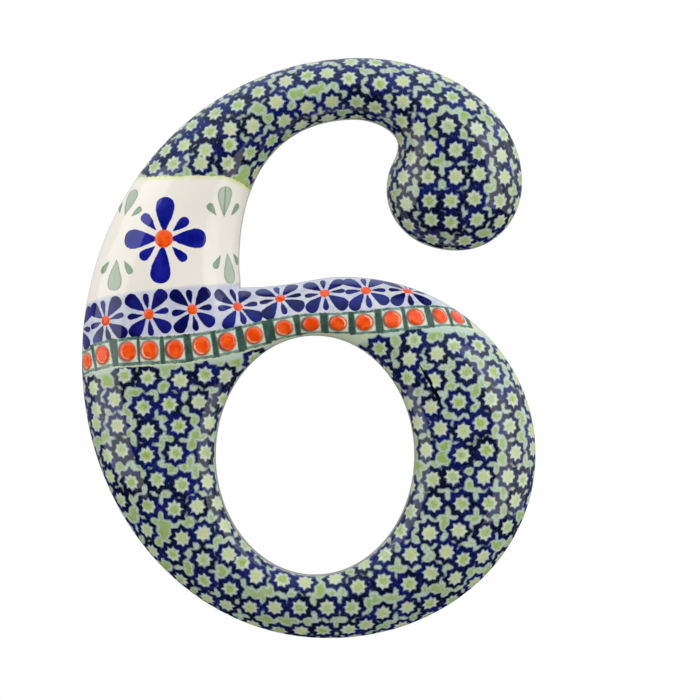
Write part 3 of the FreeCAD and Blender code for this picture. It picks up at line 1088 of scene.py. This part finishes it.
def bare_clay():
    material, paint = new_material("bare_clay")
    place = paint.node("ShaderNodeTexCoord").outputs["Object"]
    cloud = paint.noise(place, 0.06, 4.0)
    speck = paint.noise(place, 1.6, 2.0, 0.7)
    colour = paint.blend(paint.ramp(cloud, 0.35, 0.65), *CLAYS)
    colour = paint.blend(paint.ramp(speck, 0.66, 0.74, 0.0, 0.6), colour, CLAY_SPECK)
    relief = paint.times(paint.noise(place, 1.0, 4.0), 0.25)
    paint.surface(colour, paint.ramp(cloud, 0.3, 0.7, 0.78, 0.9), relief)
    return material


mesh.materials.append(painted_glaze())
mesh.materials.append(bare_clay())


# Camera, floor and light, in metres

CAMERA_DISTANCE = 2.0
VIEW_WIDTH = 0.20464
VIEW_CENTRE = Vector((0.01332, 0, -0.00026))
SENSOR_WIDTH = 36
FLOOR_HALF = 1.0
FLOOR_HEIGHT = -0.90

scene = bpy.context.scene
scene.view_settings.view_transform = "Standard"
camera = bpy.data.objects.new("camera", bpy.data.cameras.new("camera"))
scene.collection.objects.link(camera)
scene.camera = camera
camera.location = VIEW_CENTRE + Vector((0, -CAMERA_DISTANCE, 0))
camera.rotation_euler = (math.pi / 2, 0, 0)
camera.data.sensor_width = SENSOR_WIDTH
camera.data.lens = SENSOR_WIDTH * (CAMERA_DISTANCE - EDGE_WALL * MM) / VIEW_WIDTH
camera.data.clip_end = 50

floor_mesh = bpy.data.meshes.new("floor")
floor_corners = [(x * FLOOR_HALF, y * FLOOR_HALF, 0) for x, y in ((-1, -1), (1, -1), (1, 1), (-1, 1))]
floor_mesh.from_pydata(floor_corners, [], [(0, 1, 2, 3)])
floor = bpy.data.objects.new("floor", floor_mesh)
floor.location = (0, 0, FLOOR_HEIGHT)
floor.visible_glossy = False
scene.collection.objects.link(floor)
floor_material, floor_paint = new_material("pale_floor")
floor_paint.surface((0.85, 0.85, 0.84, 1), 0.9)
floor_mesh.materials.append(floor_material)


def softbox(name, bearing, lift_degrees, away, wide, tall, brightness, tint=(1, 1, 1), glossy=True):
    """A rectangular light that faces the number. Bearing 0 is in front and 90 is on the right."""
    light = bpy.data.lights.new(name, "AREA")
    light.shape = "RECTANGLE"
    light.size = wide
    light.size_y = tall
    light.energy = brightness * math.pi * wide * tall
    light.color = tint
    lamp = bpy.data.objects.new(name, light)
    scene.collection.objects.link(lamp)
    turn, rise = math.radians(bearing), math.radians(lift_degrees)
    way = Vector((math.sin(turn) * math.cos(rise), -math.cos(turn) * math.cos(rise), math.sin(rise)))
    lamp.location = way * away
    lamp.rotation_euler = way.to_track_quat("Z", "Y").to_euler()
    lamp.visible_camera = False
    lamp.visible_glossy = glossy


softbox("left_box", -70, 8, 0.85, 0.83, 1.1, 1.75)
softbox("right_box", 58, 8, 0.85, 0.47, 1.1, 1.8)
softbox("right_side", 93, 8, 0.85, 0.56, 1.1, 0.85)
softbox("fill", 0, 47, 2.2, 2.0, 2.0, 1.7, tint=(1, 0.96, 0.91), glossy=False)
softbox("right_fill", 70, 8, 0.85, 0.5, 1.1, 1.0, glossy=False)
softbox("back_fill", 180, 10, 2.2, 2.0, 2.0, 1.5, glossy=False)

# The glaze mirrors a dim room with a cool light overhead and a white sweep behind. The picture shows white.
world = bpy.data.worlds.new("studio")
scene.world = world
world.use_nodes = True
studio = Nodes(world.node_tree)
_, behind, above = studio.axes(studio.node("ShaderNodeTexCoord").outputs["Generated"])
overhead = studio.background((0.50, 0.66, 1.0, 1), studio.ramp(above, 0.1, 1.0, 0.0, 1.1))
low_share = studio.ramp(above, -0.5, 0.2, 0.0, 0.45)
sweep = studio.background((1, 1, 0.92, 1), studio.times(low_share, studio.ramp(behind, 0.0, 0.5, 0.06, 1.0)))
room = studio.node("ShaderNodeAddShader", overhead, sweep).outputs[0]
soft = studio.background((1, 0.97, 0.93, 1), studio.ramp(above, -0.6, 1.0, 0.05, 0.7))
rays = studio.node("ShaderNodeLightPath").outputs
lit = studio.either(rays["Is Diffuse Ray"], room, soft)
shown = studio.either(rays["Is Camera Ray"], lit, studio.background((1, 1, 1, 1), 1.0))
studio.node("ShaderNodeOutputWorld", shown)
